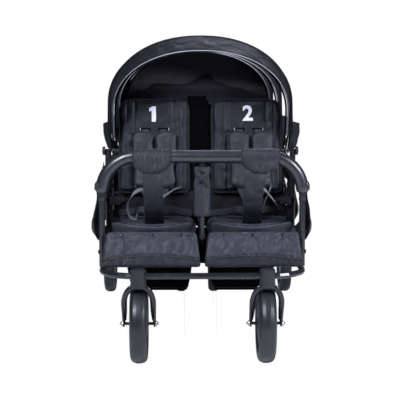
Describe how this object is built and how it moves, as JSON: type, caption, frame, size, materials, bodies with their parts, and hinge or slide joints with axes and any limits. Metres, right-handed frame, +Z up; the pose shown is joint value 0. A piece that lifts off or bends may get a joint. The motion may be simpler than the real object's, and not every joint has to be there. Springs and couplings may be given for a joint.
{
  "type": "six-seat stroller",
  "caption": "Six-seat stroller: rows of paired seats with hoods, lift-off bumper bars, folding backs, swivelling front wheels and a folding push handle.",
  "frame": {"origin": "on the floor, under the middle of the overall length and width", "axes": "-Y is the front, the way the stroller travels; +X is to the right seen from the front; +Z is up"},
  "size_m": [0.7638, 1.681, 1.037],
  "materials": {
    "tube": "semi-gloss powder coat",
    "plastic": "fine-grained matt",
    "tyre": "smooth solid rubber",
    "rim": "satin moulded",
    "cushion": "woven polyester over padding",
    "hood": "woven coated polyester",
    "foam": "closed-cell foam skin"
  },
  "bodies": {
    "root": {"front_tube": "tube", "side_rail_left": "tube", "side_rail_right": "tube", "handle_frame": "tube", "rear_axle": "tube", "caster_housing_left": "plastic", "caster_housing_right": "plastic", "calf_pad_left": "cushion", "calf_pad_right": "cushion", "row2_footwell": "hood", "row3_footwell": "hood", "row1_front_frame": "tube", "row1_rear_frame": "tube", "row1_centre_post": "tube", "row1_cushion_left": "cushion", "row1_cushion_right": "cushion", "row1_hood_rear": "hood", "row2_front_frame": "tube", "row2_rear_frame": "tube", "row2_centre_post": "tube", "row2_cushion_left": "cushion", "row2_cushion_right": "cushion", "row2_hood_rear": "hood", "row3_front_frame": "tube", "row3_rear_frame": "tube", "row3_centre_post": "tube", "row3_cushion_left": "cushion", "row3_cushion_right": "cushion", "row3_hood_rear": "hood"},
    "caster_left": {"fork_left": "tube"},
    "front_wheel_left": {"front_tyre_left": "tyre", "front_rim_left": "rim"},
    "caster_right": {"fork_right": "tube"},
    "front_wheel_right": {"front_tyre_right": "tyre", "front_rim_right": "rim"},
    "rear_wheel_left_outer_body": {"rear_wheel_left_outer": "tyre"},
    "rear_wheel_left_inner_body": {"rear_wheel_left_inner": "tyre"},
    "rear_wheel_right_outer_body": {"rear_wheel_right_outer": "tyre"},
    "rear_wheel_right_inner_body": {"rear_wheel_right_inner": "tyre"},
    "row1_back": {"row1_back_hoop": "tube", "row1_back_pad_left": "cushion", "row1_back_pad_right": "cushion"},
    "row2_back": {"row2_back_hoop": "tube", "row2_back_pad_left": "cushion", "row2_back_pad_right": "cushion"},
    "row3_back": {"row3_back_hoop": "tube", "row3_back_pad_left": "cushion", "row3_back_pad_right": "cushion"},
    "row1_bar": {"row1_bumper_bar": "foam"},
    "row2_bar": {"row2_bumper_bar": "foam"},
    "row3_bar": {"row3_bumper_bar": "foam"},
    "row1_hood_mid": {"row1_hood_mid_bow": "tube"},
    "row1_hood_front_body": {"row1_hood_front": "hood"},
    "row2_hood_mid": {"row2_hood_mid_bow": "tube"},
    "row2_hood_front_body": {"row2_hood_front": "hood"},
    "row3_hood_mid": {"row3_hood_mid_bow": "tube"},
    "row3_hood_front_body": {"row3_hood_front": "hood"},
    "handle": {"push_handle": "tube", "handle_grip": "foam"},
    "brake": {"brake_pedal": "tube"}
  },
  "joints": [
    {"name": "caster_left_swivel", "type": "hinge", "parent": "root", "child": "caster_left", "pos_m": [-0.2, -0.7755, 0.254], "axis": [0, 0, 1], "continuous": true},
    {"name": "front_wheel_left_spin", "type": "hinge", "parent": "caster_left", "child": "front_wheel_left", "pos_m": [-0.2, -0.7155, 0.125], "axis": [1, 0, 0], "continuous": true},
    {"name": "caster_right_swivel", "type": "hinge", "parent": "root", "child": "caster_right", "pos_m": [0.2, -0.7755, 0.254], "axis": [0, 0, 1], "continuous": true},
    {"name": "front_wheel_right_spin", "type": "hinge", "parent": "caster_right", "child": "front_wheel_right", "pos_m": [0.2, -0.7155, 0.125], "axis": [1, 0, 0], "continuous": true},
    {"name": "rear_wheel_left_outer_spin", "type": "hinge", "parent": "root", "child": "rear_wheel_left_outer_body", "pos_m": [-0.3575, 0.4345, 0.125], "axis": [1, 0, 0], "continuous": true},
    {"name": "rear_wheel_left_inner_spin", "type": "hinge", "parent": "root", "child": "rear_wheel_left_inner_body", "pos_m": [-0.067, 0.4345, 0.125], "axis": [1, 0, 0], "continuous": true},
    {"name": "rear_wheel_right_outer_spin", "type": "hinge", "parent": "root", "child": "rear_wheel_right_outer_body", "pos_m": [0.3575, 0.4345, 0.125], "axis": [1, 0, 0], "continuous": true},
    {"name": "rear_wheel_right_inner_spin", "type": "hinge", "parent": "root", "child": "rear_wheel_right_inner_body", "pos_m": [0.067, 0.4345, 0.125], "axis": [1, 0, 0], "continuous": true},
    {"name": "row1_back_fold", "type": "hinge", "parent": "root", "child": "row1_back", "pos_m": [0, -0.3255, 0.47], "axis": [1, 0, 0], "range_deg": [0, 76]},
    {"name": "row2_back_fold", "type": "hinge", "parent": "root", "child": "row2_back", "pos_m": [0, 0.1045, 0.47], "axis": [1, 0, 0], "range_deg": [0, 76]},
    {"name": "row3_back_fold", "type": "hinge", "parent": "root", "child": "row3_back", "pos_m": [0, 0.5345, 0.47], "axis": [1, 0, 0], "range_deg": [0, 76]},
    {"name": "row1_bar_lift", "type": "slide", "parent": "root", "child": "row1_bar", "axis": [0, 0, 1], "range_m": [0, 0.045]},
    {"name": "row2_bar_lift", "type": "slide", "parent": "root", "child": "row2_bar", "axis": [0, 0, 1], "range_m": [0, 0.045]},
    {"name": "row3_bar_lift", "type": "slide", "parent": "root", "child": "row3_bar", "axis": [0, 0, 1], "range_m": [0, 0.045]},
    {"name": "row1_hood_fold", "type": "hinge", "parent": "root", "child": "row1_hood_mid", "pos_m": [0, -0.3105, 0.64], "axis": [-1, 0, 0], "range_deg": [0, 15]},
    {"name": "row1_hood_front_fold", "type": "hinge", "parent": "row1_hood_mid", "child": "row1_hood_front_body", "pos_m": [0, -0.3105, 0.64], "axis": [-1, 0, 0], "range_deg": [0, 15]},
    {"name": "row2_hood_fold", "type": "hinge", "parent": "root", "child": "row2_hood_mid", "pos_m": [0, 0.1195, 0.64], "axis": [-1, 0, 0], "range_deg": [0, 15]},
    {"name": "row2_hood_front_fold", "type": "hinge", "parent": "row2_hood_mid", "child": "row2_hood_front_body", "pos_m": [0, 0.1195, 0.64], "axis": [-1, 0, 0], "range_deg": [0, 15]},
    {"name": "row3_hood_fold", "type": "hinge", "parent": "root", "child": "row3_hood_mid", "pos_m": [0, 0.5495, 0.64], "axis": [-1, 0, 0], "range_deg": [0, 6.5]},
    {"name": "row3_hood_front_fold", "type": "hinge", "parent": "row3_hood_mid", "child": "row3_hood_front_body", "pos_m": [0, 0.5495, 0.64], "axis": [-1, 0, 0], "range_deg": [0, 6.5]},
    {"name": "handle_fold", "type": "hinge", "parent": "root", "child": "handle", "pos_m": [0, 0.6445, 0.72], "axis": [-1, 0, 0], "range_deg": [0, 120]},
    {"name": "brake_press", "type": "hinge", "parent": "root", "child": "brake", "pos_m": [0, 0.5025, 0.25], "axis": [-1, 0, 0], "range_deg": [0, 10]}
  ],
  "couplings": [
    {"joint": "row1_hood_front_fold", "follows": "row1_hood_fold", "ratio": 1},
    {"joint": "row2_hood_front_fold", "follows": "row2_hood_fold", "ratio": 1},
    {"joint": "row3_hood_front_fold", "follows": "row3_hood_fold", "ratio": 1}
  ]
}
